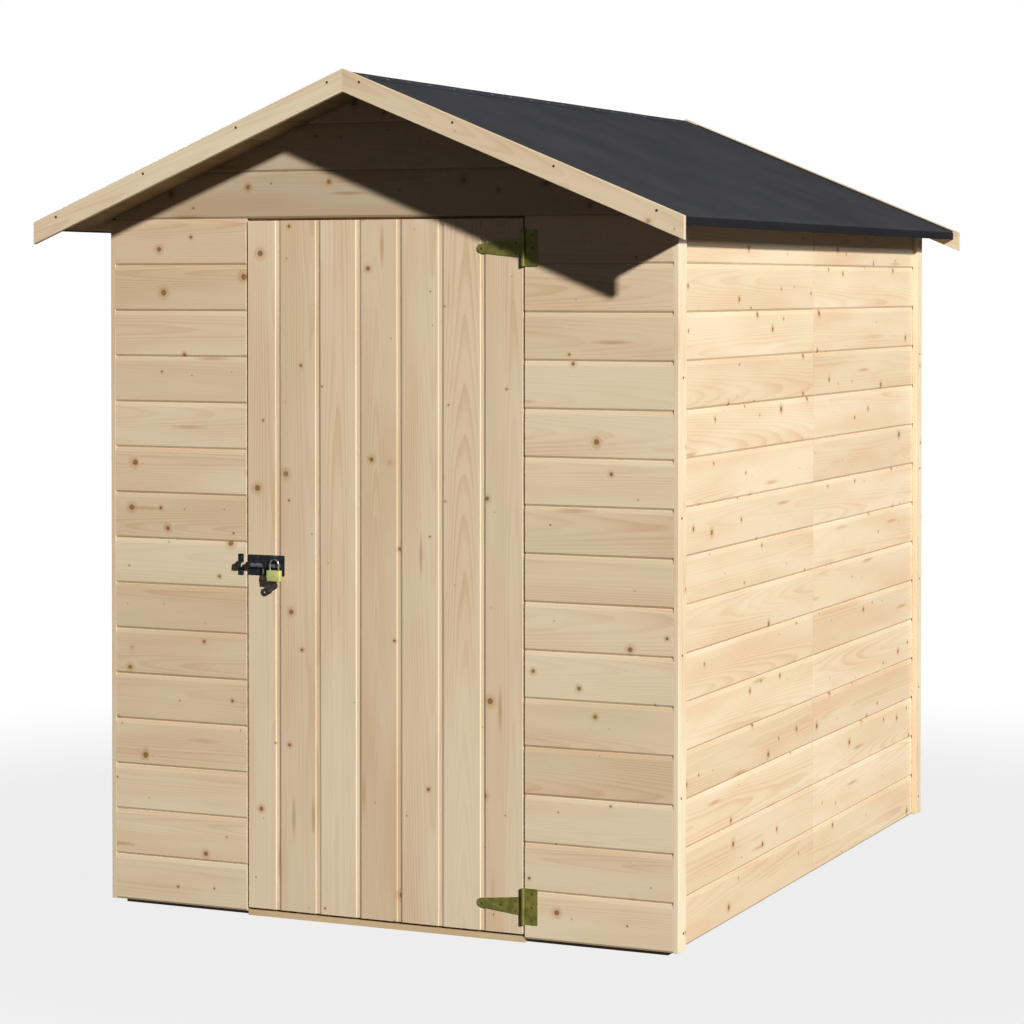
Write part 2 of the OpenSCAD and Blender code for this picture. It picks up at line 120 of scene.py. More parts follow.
# %% Shader sums
class Flow:
    """One output socket of a material. Sums on it add Math nodes."""

    def __init__(self, tree, socket=None):
        self.tree = tree
        self.socket = socket

    def node(self, kind, settings, sockets, out=0):
        made = self.tree.nodes.new(kind)
        for name, value in settings.items():
            setattr(made, name, value)
        for name, value in sockets.items():
            if isinstance(value, Flow):
                self.tree.links.new(value.socket, made.inputs[name])
            else:
                made.inputs[name].default_value = value
        return Flow(self.tree, made.outputs[out])

    def math(self, operation, *values):
        return self.node("ShaderNodeMath", {"operation": operation}, dict(enumerate(values)))

    def __add__(self, other):
        return self.math("ADD", self, other)

    def __radd__(self, other):
        return self.math("ADD", other, self)

    def __sub__(self, other):
        return self.math("SUBTRACT", self, other)

    def __rsub__(self, other):
        return self.math("SUBTRACT", other, self)

    def __mul__(self, other):
        return self.math("MULTIPLY", self, other)

    def __rmul__(self, other):
        return self.math("MULTIPLY", other, self)

    def __truediv__(self, other):
        return self.math("DIVIDE", self, other)

    def __rtruediv__(self, other):
        return self.math("DIVIDE", other, self)

    def __pow__(self, other):
        return self.math("POWER", self, other)

    def __rpow__(self, other):
        return self.math("POWER", other, self)

    def ease(self, start, end):
        """Rise smoothly from 0 at start to 1 at end. Start may be above end."""
        settings = {"interpolation_type": "SMOOTHSTEP"}
        return self.node("ShaderNodeMapRange", settings, {0: self, 1: start, 2: end, 3: 0.0, 4: 1.0})

    def part(self, index):
        return self.node("ShaderNodeSeparateXYZ", {}, {0: self}, index)

    def vector(self, x, y, z):
        return self.node("ShaderNodeCombineXYZ", {}, {0: x, 1: y, 2: z})

    def noise(self, place, scale, detail=2.0):
        sockets = {"Vector": place, "Scale": scale, "Detail": detail}
        return self.node("ShaderNodeTexNoise", {}, sockets)

    def mix(self, share, first, second, blend="MIX"):
        settings = {"data_type": "RGBA", "blend_type": blend}
        return self.node("ShaderNodeMix", settings, {0: share, 6: first, 7: second}, 2)

    def shade(self, share, first, tint):
        """Darken a colour by a tint, where the share is above 0."""
        return self.mix(share, first, tint, "MULTIPLY")

    def bump(self, strength, distance):
        """A normal that takes this flow as a height."""
        sockets = {"Strength": strength, "Distance": distance, "Height": self}
        return self.node("ShaderNodeBump", {}, sockets)


print("shader class ready")

# %% [markdown]
# Colours are written as a picture editor shows them, because they are easiest to judge in that scale, and
# turned into scene light. Patterns lie on a piece's own coordinates, so they move with it.

# %% Colours and materials
def linear(red, green, blue):
    """A colour as a picture editor shows it, 0 to 255, turned into scene light."""
    def channel(value):
        value = value / 255
        return value / 12.92 if value <= 0.04045 else ((value + 0.055) / 1.055) ** 2.4
    return (channel(red), channel(green), channel(blue), 1.0)


def new_material(name):
    """A new material and its surface shader."""
    material = bpy.data.materials.new(name)
    material.use_nodes = True
    return material, material.node_tree.nodes["Principled BSDF"]


def feed(tree, shader, **inputs):
    """Link flows, or set plain values, on the shader's sockets."""
    for name, value in inputs.items():
        socket = shader.inputs[name.replace("_", " ")]
        if isinstance(value, Flow):
            tree.links.new(value.socket, socket)
        else:
            socket.default_value = value


def object_place(tree):
    """Each point's place on its own piece."""
    return Flow(tree).node("ShaderNodeTexCoord", {}, {}, 3)


print("middle grey in scene light:", linear(128, 128, 128))

# %% [markdown]
# The wood is new planed softwood. A sawn board is a slice through a trunk, so its figure is the trunk's
# rings seen on a flat cut: long lines at the edges, and pointed arches where the cut grazes a ring. A
# picture of wood would repeat from board to board, so the figure is worked out from each point's place in
# a trunk. A modelled board holds that place in its own `grain` attribute. A piece of the frame takes it
# from its coordinates, turned so that the grain runs along it.

# %% Grain
TRUNK_START = (3, 0.05, 0.04)
TONE_SCALE = 0.9


def grain_flow(tree):
    return Flow(tree).node("ShaderNodeAttribute", {"attribute_name": "grain"}, {}, 1)


def tone_flow(tree):
    return Flow(tree).node("ShaderNodeAttribute", {"attribute_name": "tone"}, {}, 2)


def sawn_grain(turn):
    """The grain of a frame piece whose length lies along X after the turn."""
    def grain_of(tree):
        place = object_place(tree)
        sockets = {"Vector": place, "Rotation": turn, "Location": TRUNK_START}
        return place.node("ShaderNodeMapping", {}, sockets)
    return grain_of


def sawn_tone(tree):
    place = object_place(tree)
    return place.noise(place, TONE_SCALE, 1.0)


print("frame timber starts", TRUNK_START, "m into its trunk")

# %% [markdown]
# A year's ring is pale and then ends in a thin dark line. Its distance from the pith, bent by a slow noise,
# tells where a point lies in it. Knots are cells of a Voronoi pattern: each cell has a lot that says
# whether it holds a knot and how large that is, and the rings swerve round it. Resin streaks are cells that
# are drawn out along the board.

# %% Figure of the wood
RING_GAP = 4.2 * MM
RING_WANDER = 16 * MM
RING_SWERVE = 5 * MM
KNOT_CELL = 0.115
KNOT_SMALL = 1.2 * MM
KNOT_LARGE = 9.5 * MM
KNOT_RAGGED = 1.6 * MM
RAGGED_SCALE = 420.0
RESIN_LENGTH = 0.45
RESIN_WIDTH = 45 * MM
CELLS = {"voronoi_dimensions": "2D", "feature": "F1"}


def knot_masks(flat, share):
    """Where the knots are, their paler hearts, and the halos round them."""
    sockets = {"Vector": flat, "Scale": 1 / KNOT_CELL}
    distance = flat.node("ShaderNodeTexVoronoi", CELLS, sockets, 0) * KNOT_CELL
    lot = flat.node("ShaderNodeTexVoronoi", CELLS, sockets, 1)
    size_lot = lot.part(0)
    kept = lot.part(1).ease(0.30, 0.34) * share
    radius = size_lot ** 2.4 * (KNOT_LARGE - KNOT_SMALL) + KNOT_SMALL
    ragged = distance + (flat.noise(flat, RAGGED_SCALE) - 0.5) * KNOT_RAGGED
    core = ragged.ease(radius, radius * 0.45) * kept
    heart = ragged.ease(radius * 0.75, radius * 0.25) * size_lot.ease(0.55, 0.80)
    halo = distance.ease(radius * 2.6, radius * 0.8) * kept
    return core, heart, halo


def late_wood(along, across, through, halo):
    """The dark line at the end of each ring."""
    slow = along.vector(along * 1.3, across * 9.0, through * 9.0)
    wobble = (along.noise(slow, 1.0, 3.0) - 0.5) * RING_WANDER
    pith = along.math("SQRT", across * across + through * through) + wobble + halo * RING_SWERVE
    ring = along.math("FRACT", pith / RING_GAP)
    return ring.ease(0.35, 0.92) * ring.ease(1.0, 0.93)


def resin_streaks(along, across, share):
    """Streaks along the board, in a few of the cells."""
    drawn = along.vector(along / RESIN_LENGTH, across / RESIN_WIDTH, 0.0)
    sockets = {"Vector": drawn, "Scale": 1.0}
    pocket = along.node("ShaderNodeTexVoronoi", CELLS, sockets, 0)
    lot = along.node("ShaderNodeTexVoronoi", CELLS, sockets, 1)
    return pocket.ease(0.16, 0.02) * lot.part(0).ease(0.90, 0.94) * share


print("rings", RING_GAP / MM, "mm apart")

# %% [markdown]
# The colour is built up in layers, as a painter would do it: a pale ground that turns warm and greenish in
# broad patches, then the board's own tone, the late wood, fine fibres, resin and the halos of knots, and
# the knots last. Each layer darkens what lies under it by its mask. Fibres, late wood and knots also give a
# faint bump, which shows against the light.

# %% Softwood
KNOT_DARK = linear(82, 56, 32)
KNOT_PALE = linear(150, 106, 64)


def softwood(name, colours, grain_of=grain_flow, tone_of=tone_flow, knots=1.0, rough=0.56):
    """A wood finish from its pale, warm and greenish colour."""
    material, shader = new_material(name)
    tree = material.node_tree
    grain = grain_of(tree)
    along = grain.part(0)
    across = grain.part(1)
    through = grain.part(2)
    core, heart, halo = knot_masks(grain.vector(along, across, 0.0), knots)
    late = late_wood(along, across, through, halo)
    resin = resin_streaks(along, across, knots)
    fibre = grain.noise(grain.vector(along * 9.0, across * 700.0, through * 700.0), 1.0, 2.0)
    broad = grain.noise(grain.vector(along * 1.6, across * 11.0, through * 6.0), 1.0, 2.0)
    patch = grain.noise(grain.vector(along * 2.3, across * 8.0, through * 3.0 + 7.0), 1.0, 1.0)
    streak = late * (0.25 + 0.75 * broad.ease(0.3, 0.75))

    pale, warm, green = colours
    colour = grain.mix(broad.ease(0.35, 0.68), pale, warm)
    colour = grain.mix(patch.ease(0.52, 0.75) * 0.5, colour, green)
    layers = (
        (tone_of(tree).ease(0.2, 1.0), 0.60, linear(238, 230, 222)),
        (streak, 0.34, linear(214, 188, 158)),
        (fibre.ease(0.45, 0.8), 0.18, linear(222, 202, 178)),
        (resin, 0.55, linear(206, 162, 112)),
        (halo, 0.45, linear(216, 180, 130)),
    )
    for mask, share, tint in layers:
        colour = grain.shade(mask * share, colour, tint)
    knot = grain.mix(heart, KNOT_DARK, KNOT_PALE)
    colour = grain.mix(core * 0.92, colour, knot)

    height = fibre * 0.35 - late * 0.5 - core * 0.8
    roughness = rough + (fibre - 0.5) * 0.10 - core * 0.12
    feed(tree, shader, Base_Color=colour, Roughness=roughness, Normal=height.bump(0.10, 0.6 * MM))
    return material


print("one recipe for every wood")

# %% [markdown]
# All woods come from that recipe, with three colours each. The gables are coloured darker than the walls, as
# painted shade for the shade under the roof's overhang. The trims are the clearest timber, with fewer knots,
# and the roof boards are coloured darker still, as painted shade, because their underside hardly sees the
# sky.
# The framing is rough-sawn and warm, with a finish for each direction in which its grain runs.

# %% Wood finishes
WALL_COLOURS = (linear(233, 213, 181), linear(228, 201, 166), linear(223, 211, 172))
# Painted shade: the gable colours are darker than the walls' and stand in for the shade under the roof's
# overhang.
GABLE_PAINTED_SHADE_COLOURS = (linear(204, 186, 158), linear(199, 176, 145), linear(195, 184, 150))
# Painted shade: the roof boards' colours are darkened and stand in for the shade on their underside.
DECK_PAINTED_SHADE_COLOURS = (linear(150, 128, 92), linear(132, 106, 72), linear(142, 126, 86))
TRIM_COLOURS = (linear(236, 218, 186), linear(230, 205, 170), linear(223, 211, 172))
SAWN_COLOURS = (linear(214, 186, 144), linear(196, 160, 116), linear(223, 211, 172))
SAWN_TURNS = {"lying": (0.0, 0.0, 0.0), "deep": (0.0, 0.0, QUARTER), "standing": (0.0, QUARTER, 0.0)}

board_wood = softwood("board_wood", WALL_COLOURS)
gable_painted_shade_wood = softwood("gable_painted_shade_wood", GABLE_PAINTED_SHADE_COLOURS)
deck_painted_shade_wood = softwood("deck_painted_shade_wood", DECK_PAINTED_SHADE_COLOURS, rough=0.68)
trim_wood = softwood("trim_wood", TRIM_COLOURS, knots=0.6)
sawn = {}
for label, turn in SAWN_TURNS.items():
    sawn[label] = softwood("sawn_" + label, SAWN_COLOURS, sawn_grain(turn), sawn_tone, knots=0.7, rough=0.72)
print("wood finishes ready, sawn ones:", *sawn)

# %% [markdown]
# Roofing felt is dark bitumen with fine mineral grit on it. The grit is a noise that gives both the colour
# and the bump, with a few pale specks. The flap that hangs over the eaves is darkened as painted shade, and
# its face is found by its distance from the ridge.

# %% Felt finish
FLAP_X = corners("roof_felt_right")[1].x - 1.0 * MM
FLAP_SHADE_FADE = 1.5 * MM


def roofing_felt():
    material, shader = new_material("roofing_felt")
    tree = material.node_tree
    place = object_place(tree)
    grit = place.noise(place, 900.0, 2.0)
    patch = place.noise(place, 5.0, 3.0)
    speck = place.noise(place, 2200.0, 0.0)
    colour = place.mix(patch.ease(0.3, 0.7), linear(52, 52, 55), linear(60, 60, 64))
    colour = place.shade(grit.ease(0.45, 0.7) * 0.5, colour, linear(190, 190, 194))
    colour = place.mix(speck.ease(0.66, 0.74) * 0.35, colour, linear(110, 110, 112))
    outward = place.math("ABSOLUTE", place.part(0))
    # Painted shade: the flap's outer face is darkened by a tint.
    colour = place.shade(outward.ease(FLAP_X - FLAP_SHADE_FADE, FLAP_X), colour, linear(150, 150, 152))
    feed(tree, shader, Base_Color=colour, Roughness=0.88 + (grit - 0.5) * 0.16,
         Normal=grit.bump(0.45, 1.0 * MM), Specular_IOR_Level=0.12)
    return material


felt_finish = roofing_felt()
print("felt finish:", felt_finish.name)

# %% [markdown]
# The hinges have the olive-yellow bloom of passivated zinc. Their screws are of the same olive-yellow zinc,
# coloured darker as painted shade for the shade in their countersinks. The bolt is painted black and its rod
# is worn bare, and the padlock is brushed brass with a steel shackle. One recipe makes them all:
# a cloudy bloom of two colours, fine scratches, and a polish that varies with both.

# %% Metal finishes
EVEN = (1, 1, 1)
BRUSHED_UP = (1, 1, 0.08)


def plated(name, dark, light, metal, rough, scale, stretch=EVEN):
    """Metal with a cloudy bloom, fine scratches and uneven polish."""
    material, shader = new_material(name)
    tree = material.node_tree
    place = object_place(tree)
    cloud = place.noise(place, scale, 3.0)
    drawn = place.node("ShaderNodeMapping", {}, {"Vector": place, "Scale": stretch})
    scratch = place.noise(drawn, 900.0, 2.0)
    colour = place.mix(cloud.ease(0.32, 0.68), linear(*dark), linear(*light))
    colour = place.shade(scratch.ease(0.5, 0.75) * 0.35, colour, linear(205, 205, 200))
    roughness = rough + (cloud - 0.5) * 0.22 + (scratch - 0.5) * 0.12
    feed(tree, shader, Base_Color=colour, Roughness=roughness, Metallic=metal,
         Normal=scratch.bump(0.08, 0.3 * MM))
    return material


zinc_finish = plated("yellow_zinc", (122, 119, 54), (152, 148, 76), metal=0.45, rough=0.42, scale=60.0)
rod_finish = plated("worn_rod", (104, 108, 112), (148, 152, 156), metal=0.6, rough=0.30, scale=90.0)
black_finish = plated("black_paint", (34, 35, 38), (52, 54, 58), metal=0.25, rough=0.40, scale=90.0)
brass_finish = plated("brushed_brass", (206, 206, 112), (232, 230, 150), metal=0.35, rough=0.38, scale=70.0,
                      stretch=BRUSHED_UP)
steel_finish = plated("shackle_steel", (196, 196, 198), (222, 222, 224), metal=0.95, rough=0.24, scale=80.0)
# Painted shade: the screws' zinc is darker than the hinges' and stands in for the shade round their heads.
screw_painted_shade_finish = plated("screw_painted_shade", (92, 84, 34), (124, 116, 52), metal=0.4, rough=0.5, scale=200.0)
key_finish = plated("dark_key", (74, 66, 66), (104, 94, 92), metal=0.55, rough=0.42, scale=90.0)
nail_finish = plated("nail_steel", (70, 58, 44), (104, 88, 70), metal=0.3, rough=0.55, scale=200.0)
clout_finish = plated("clout_zinc", (112, 112, 114), (146, 146, 148), metal=0.6, rough=0.50, scale=200.0)
print("metal finishes ready")

# %% [markdown]
# The shed stands on a plain pale sheet, which takes a soft shadow and fades to white further out. A floor
# of real white would throw light up under the roof, so this one is dark to the lamps and white to the
# camera, and the Light Path node tells the two apart. Metal mirrors a faint share of that white.

# %% Studio floor
WHITE = (1.0, 1.0, 1.0, 1.0)
PAPER = (0.06, 0.06, 0.06, 1.0)
GLOSS_SHARE = 0.12
NEAR_WHITE = 0.84
FADE_START = 1.6
FADE_END = 3.6
FLOOR_HALF = 40.0
FLOOR_DROP = 1 * MM


def seen_share(tree):
    """1 for a ray from the camera or through glass, and a small share for a mirrored one."""
    path = tree.nodes.new("ShaderNodeLightPath")
    seen = Flow(tree, path.outputs["Is Camera Ray"]) + Flow(tree, path.outputs["Is Transmission Ray"])
    return seen + GLOSS_SHARE * Flow(tree, path.outputs["Is Glossy Ray"])


def studio_floor():
    material = bpy.data.materials.new("studio_floor")
    material.use_nodes = True
    tree = material.node_tree
    tree.nodes.clear()
    place = object_place(tree)
    reach = place.node("ShaderNodeVectorMath", {"operation": "LENGTH"}, {0: place}, 1)
    whiten = seen_share(tree) * (NEAR_WHITE + (1 - NEAR_WHITE) * reach.ease(FADE_START, FADE_END))
    paper = place.node("ShaderNodeBsdfDiffuse", {}, {"Color": PAPER})
    white = place.node("ShaderNodeEmission", {}, {"Color": WHITE, "Strength": 1.0})
    both = place.node("ShaderNodeMixShader", {}, {0: whiten, 1: paper, 2: white})
    output = tree.nodes.new("ShaderNodeOutputMaterial")
    tree.links.new(both.socket, output.inputs["Surface"])
    return material


bpy.ops.object.select_all(action="DESELECT")
bpy.ops.mesh.primitive_plane_add(size=2 * FLOOR_HALF, location=(0, 0, -FLOOR_DROP))
ground = bpy.context.object
ground.name = "studio_ground"
ground.data.materials.append(studio_floor())
print("floor fades to white from", FADE_START, "to", FADE_END, "m")

# %% [markdown]
# Daylight comes from the right at the front, so the side wall is brighter than the front, and the overhang
# shades the gable. The key lamp is small and far away, which gives that shadow its edge. A lamp at the side
# lifts the right wall a little, and a broad one behind lights the sides that this view doesn't show.

# %% Lamps
LAMP_AIM = (0.0, -0.2, 0.9)


def soft_lamp(name, place, width, power):
    light = bpy.data.lights.new(name, "AREA")
    light.energy = power
    light.size = width
    lamp = bpy.data.objects.new(name, light)
    lamp.location = place
    lamp.rotation_euler = (Vector(LAMP_AIM) - Vector(place)).to_track_quat("-Z", "Y").to_euler()
    bpy.context.collection.objects.link(lamp)


soft_lamp("key", (29.2, -23.9, 16.3), width=1.4, power=22500.0)
soft_lamp("side", (13.0, 2.5, 6.6), width=2.0, power=520.0)
soft_lamp("back", (-9.0, 9.5, 4.0), width=4.0, power=1500.0)
print("three lamps, aimed at", LAMP_AIM)

# %% [markdown]
# The sky is white where the camera sees it. As a light it is faint and a little blue, as open shade is, and
# it keeps the underside of the roof from going black.

# %% Sky
SKY_STRENGTH = 0.040
SKY_COLOUR = (0.78, 0.91, 1.0, 1.0)

sky = bpy.data.worlds.new("white_sky")
bpy.context.scene.world = sky
sky.use_nodes = True
sky_tree = sky.node_tree
sky_tree.nodes.clear()
sky_seen = seen_share(sky_tree)
sky_level = SKY_STRENGTH + (1.0 - SKY_STRENGTH) * sky_seen
sky_tint = sky_seen.mix(sky_seen, SKY_COLOUR, WHITE)
sky_glow = sky_seen.node("ShaderNodeBackground", {}, {"Color": sky_tint, "Strength": sky_level})
sky_out = sky_tree.nodes.new("ShaderNodeOutputWorld")
sky_tree.links.new(sky_glow.socket, sky_out.inputs["Surface"])
print("sky strength as a light:", SKY_STRENGTH)

# %% [markdown]
# Modelling is done as by hand: add a primitive at its size, go into edit mode, select what has to move,
# and move or cut it. These small helpers keep the selection honest, because an operator acts on all that
# is selected.

# %% Selecting, moving and cutting
def pick(piece):
    """Make one piece the only selected and active object."""
    bpy.ops.object.select_all(action="DESELECT")
    piece.select_set(True)
    bpy.context.view_layer.objects.active = piece


def new_block(name, low, high):
    """A cube primitive between two corners, with its place in its mesh."""
    bpy.ops.object.select_all(action="DESELECT")
    centre = [(a + b) / 2 for a, b in zip(low, high)]
    bpy.ops.mesh.primitive_cube_add(size=1, location=centre)
    piece = bpy.context.object
    piece.name = name
    piece.scale = [b - a for a, b in zip(low, high)]
    bpy.ops.object.transform_apply(location=True, rotation=True, scale=True)
    return piece


def cut(piece, point, normal, keep_all=False):
    """Bisect a piece by a plane. What lies on the normal's side goes, unless all is kept."""
    pick(piece)
    bpy.ops.object.mode_set(mode="EDIT")
    bpy.ops.mesh.select_all(action="SELECT")
    bpy.ops.mesh.bisect(plane_co=point, plane_no=normal, use_fill=not keep_all, clear_outer=not keep_all)
    bpy.ops.object.mode_set(mode="OBJECT")


def pick_points(piece, test):
    """Go into edit mode with only those points selected that pass a test."""
    pick(piece)
    bpy.ops.object.mode_set(mode="EDIT")
    bpy.ops.mesh.select_mode(type="VERT")
    bpy.ops.mesh.select_all(action="DESELECT")
    bpy.ops.object.mode_set(mode="OBJECT")
    for point in piece.data.vertices:
        point.select = test(point.co)
    bpy.ops.object.mode_set(mode="EDIT")


def push(piece, test, step):
    """Move the points that pass a test."""
    pick_points(piece, test)
    bpy.ops.transform.translate(value=step)
    bpy.ops.object.mode_set(mode="OBJECT")


print("tools for shaping ready")

# %% [markdown]
# No real edge is perfectly sharp, and an eased one catches the light, so each piece gets a fine bevel.
# Repeats are modelled once: the master is copied, each copy gets its own mesh, and the copies are joined to
# one piece. `dress` then gives it a finish, the body that it moves with and the nodes that it stands for.

# %% Easing, joining and dressing
PLANED_ANGLE = 28
ROUND_ANGLE = 40


def modify(piece, name, kind, **settings):
    """Add a modifier with its settings, and apply it."""
    pick(piece)
    modifier = piece.modifiers.new(name, kind)
    for setting, value in settings.items():
        setattr(modifier, setting, value)
    bpy.ops.object.modifier_apply(modifier=modifier.name)


def soften(piece, width, segments=2, angle=PLANED_ANGLE, smooth=True):
    """Ease the edges sharper than an angle with a bevel, and shade the rest smooth or flat."""
    limit = math.radians(angle)
    modify(piece, "eased_edges", "BEVEL", width=width, segments=segments, limit_method="ANGLE",
           angle_limit=limit)
    if smooth:
        bpy.ops.object.shade_smooth_by_angle(angle=limit)
    else:
        bpy.ops.object.shade_flat()


def join(pieces, name):
    bpy.ops.object.select_all(action="DESELECT")
    for piece in pieces:
        piece.select_set(True)
    bpy.context.view_layer.objects.active = pieces[0]
    bpy.ops.object.join()
    pieces[0].name = name
    return pieces[0]


def copy_of(master, matrix):
    """A copy with its own mesh, put in place in the mesh itself."""
    mesh = master.data.copy()
    mesh.transform(matrix)
    piece = bpy.data.objects.new(master.name, mesh)
    bpy.context.collection.objects.link(piece)
    return piece


def dress(piece, finish, body, *nodes):
    """Give a piece its finish, its body and the nodes that it stands for."""
    piece.data.materials.clear()
    piece.data.materials.append(finish)
    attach(piece, body)
    if nodes:
        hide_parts(*nodes)


def discard(piece):
    bpy.data.objects.remove(piece, do_unlink=True)


print("tools for finishing ready")

# %% [markdown]
# The lower edge of a wall board ends in a lip that faces down, so it is dark in daylight. Its upper edge runs
# back in a flat scoop and a notch. The section could be drawn and extruded. Here a block is scored along its
# length and its face is run back from line to line, as a moulding plane does it, so the same few helpers make
# the door's boards too.

# %% Milling a board
COVER = 114 * MM
BOARD_T = 14 * MM
SCOOP = 10 * MM
SCOOP_DEPTH = 1.9 * MM
NOTCH = 1.6 * MM
NOTCH_DEPTH = 2.6 * MM
LIP = 5 * MM
LIP_DEPTH = 3.7 * MM
BOARD_EASE = 0.6 * MM
BEND_STEPS = 6


def milled_board(length, cover, lip, lip_depth):
    """A board along X, face towards -Y, covering from Z = 0 upward, with a lip along its lower edge."""
    board = new_block("board", (0, 0, 0), (length, BOARD_T, cover))
    if lip > 0:
        cut(board, (0, 0, lip), UP, keep_all=True)
        push(board, lambda co: co.z < lip / 2 and co.y < BOARD_T / 2, (0, lip_depth, 0))
    return board


def set_back(board, start, slope, depth):
    """Run the face back by a depth, beyond a line, over a slope. It stays back up to the far edge."""
    cut(board, (0, 0, start), UP, keep_all=True)
    end = start + slope
    if end < max(point.co.z for point in board.data.vertices) - MM / 10:
        cut(board, (0, 0, end), UP, keep_all=True)
    push(board, lambda co: co.z > end - slope / 2 and co.y < BOARD_T / 2, (0, depth, 0))


def finish_board(board, length):
    """Ease the arrises and score the board across, so that it can bow a little."""
    soften(board, BOARD_EASE, smooth=False)
    for step in range(1, BEND_STEPS):
        cut(board, (length * step / BEND_STEPS, 0, 0), RIGHT, keep_all=True)


def wall_board(length):
    board = milled_board(length, COVER, LIP, LIP_DEPTH)
    set_back(board, COVER - NOTCH - SCOOP, SCOOP, SCOOP_DEPTH)
    set_back(board, COVER - NOTCH, NOTCH, NOTCH_DEPTH)
    finish_board(board, length)
    return board


print("a wall board covers", COVER / MM, "mm")

# %% [markdown]
# No two boards look alike, because each is sawn from its own place in its own trunk. Nor does a board lie
# quite flat: it stands a little proud or shy of its neighbours along its length, and the light shows it.
# Both are drawn at random, but always from the same seed, so every run gives the same shed.

# %% Grain and bow
PITH_DEPTHS = (0.022, 0.085)
TRUNK_LENGTH = 60
TRUNK_TILT = 0.03
BOARD_BOW = 0.5 * MM


def add_grain(board, width):
    """Place each point of a board along X in a trunk of its own, and draw the board's tone."""
    mesh = board.data
    count = len(mesh.vertices)
    places = np.empty(count * 3)
    mesh.vertices.foreach_get("co", places)
    places = places.reshape(count, 3)
    start = chance.uniform(0, TRUNK_LENGTH)
    pith_across = width * chance.uniform(0.05, 0.95)
    pith_depth = chance.uniform(*PITH_DEPTHS)
    tilt = chance.uniform(-TRUNK_TILT, TRUNK_TILT)
    grain = np.empty((count, 3))
    grain[:, 0] = places[:, 0] + start
    grain[:, 1] = places[:, 2] - pith_across
    grain[:, 2] = places[:, 1] + pith_depth + tilt * places[:, 0]
    layer = mesh.attributes.new("grain", "FLOAT_VECTOR", "POINT")
    layer.data.foreach_set("vector", grain.ravel())
    tone = mesh.attributes.new("tone", "FLOAT", "POINT")
    tone.data.foreach_set("value", np.full(count, chance.random()))


def bow(board, amount):
    """Let a board stand a little proud or shy of its neighbours along its length."""
    phase = chance.uniform(0, 2 * math.pi)
    rest = chance.uniform(-0.5, 0.5) * amount
    waves = chance.uniform(1.5, 4.0)
    for point in board.data.vertices:
        point.co.y += rest + 0.5 * amount * math.sin(phase + waves * point.co.x)


def board_from(master, place, width, proud=0.0):
    """A copy of a board with its own grain and bow, laid in its place."""
    board = copy_of(master, Matrix.Identity(4))
    add_grain(board, width)
    bow(board, proud)
    board.data.transform(place)
    return board


def lay(name, master, places, width, proud=0.0):
    """Boards from one master, laid in their places and joined to one piece."""
    boards = [board_from(master, place, width, proud) for place in places]
    discard(master)
    return join(boards, name)


print("boards bow by up to", BOARD_BOW / MM, "mm")

# %% [markdown]
# The walls are panels of lying boards, two to a side. One board is modelled for each panel's length and
# copied for every course, from the lowest upward. The panels at the sides and the back meet at a seam, so
# their boards stop just short of each other there.

# %% Wall panels
SEAM_GAP = 2 * MM
SIDES = {"front": 0, "right": QUARTER, "back": 2 * QUARTER, "left": -QUARTER}
PANELS = {"front": ("left", "right"), "left": ("front", "rear"), "right": ("front", "rear"),
          "back": ("left", "right")}


def panel_start(side, low, high):
    """The lower corner where a board's X = 0 end lies, seen from outside on the left."""
    x = high.x if side in ("right", "back") else low.x
    y = high.y if side in ("left", "back") else low.y
    return x, y


def lay_courses(node, side, courses, seam, proud):
    """Boards over one node from its lowest course upward, joined to one piece."""
    low, high = corners(node)
    length = (high.x - low.x) if side in ("front", "back") else (high.y - low.y)
    master = wall_board(length - seam)
    start_x, start_y = panel_start(side, low, high)
    places = []
    for course in range(courses):
        start = moved(start_x, start_y, low.z + course * COVER)
        places.append(start @ turned(SIDES[side], "Z") @ moved(seam / 2, 0, 0))
    return lay(node + "_boards", master, places, COVER, proud)


wall_pieces = 0
for side, ends in PANELS.items():
    seam = 0 if side == "front" else SEAM_GAP
    for end in ends:
        node = side + "_wall_" + end
        low, high = corners(node)
        courses = round((high.z - low.z) / COVER)
        panel = lay_courses(node, side, courses, seam, BOARD_BOW)
        dress(panel, board_wood, "shed", node)
        wall_pieces += courses
print("wall boards:", wall_pieces)

# %% [markdown]
# The gables go on in the same courses. Their boards are laid past the slope and then cut along it with a
# plane, as a saw would trim them.

# %% Gables
PITCH = math.radians(22.4)
SLOPE = math.tan(PITCH)
GABLE_BOW = 0.2 * MM


def slope_normal(hand):
    """The direction that a roof slope faces."""
    return (hand * math.sin(PITCH), 0, math.cos(PITCH))


for side in ("front", "back"):
    node = side + "_gable"
    low, high = corners(node)
    courses = math.ceil((high.z - low.z) / COVER)
    gable = lay_courses(node, side, courses, 0, GABLE_BOW)
    for hand in HANDS:
        cut(gable, (0, low.y, high.z), slope_normal(hand))
    dress(gable, gable_painted_shade_wood, "shed", node)
print("gables cut to", math.degrees(PITCH), "degrees")

# %% [markdown]
# The door is made of standing boards. Each has a tongue at its right edge and a flat lip at its left, so a
# joint shows as a step and not as a scoop. The first board at the free edge and the last at the hinges are
# ripped to fit. They are milled lying, as the wall boards are, and then stood on end.

# %% Door boards
DOOR_COVER = 110.5 * MM
DOOR_FIRST = 87.5 * MM
DOOR_TONGUE = 10.5 * MM
DOOR_STEP = 0.5 * MM
DOOR_STEP_DEPTH = 2.6 * MM
DOOR_LIP = 4.5 * MM
DOOR_LIP_DEPTH = 1.7 * MM

